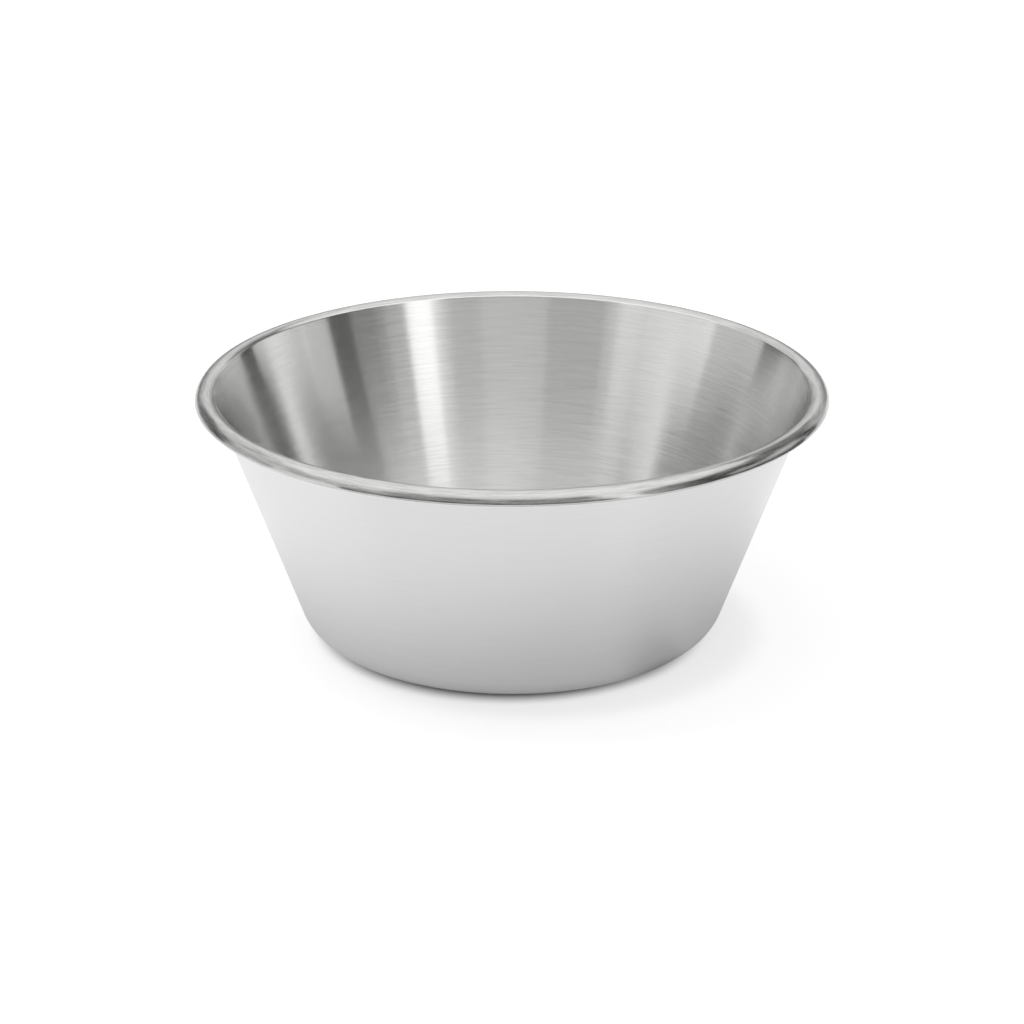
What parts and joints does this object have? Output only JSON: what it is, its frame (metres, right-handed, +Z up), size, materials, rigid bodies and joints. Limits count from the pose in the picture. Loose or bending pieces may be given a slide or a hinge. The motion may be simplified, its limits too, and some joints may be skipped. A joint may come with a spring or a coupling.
{
  "type": "conical basin",
  "caption": "Flat-bottomed conical steel basin with a brushed finish, a rounded foot and a domed rim folded over a stiffening wire, for mixing and washing.",
  "frame": {"origin": "centre of the base, on the surface that the basin stands on", "axes": "+Z up along the bowl's own axis of revolution, with +X and +Y in the standing plane; the bowl is the same all round"},
  "size_m": [0.25, 0.25, 0.101],
  "materials": {
    "brushed_sheet": "satin stainless sheet with fine brushing round the bowl, brighter on the rolled rim",
    "drawn_wire": "plain drawn steel wire with fine lengthwise die marks"
  },
  "bodies": {
    "root": {"basin_shell": "brushed_sheet", "rim_wire": "drawn_wire"}
  },
  "joints": []
}
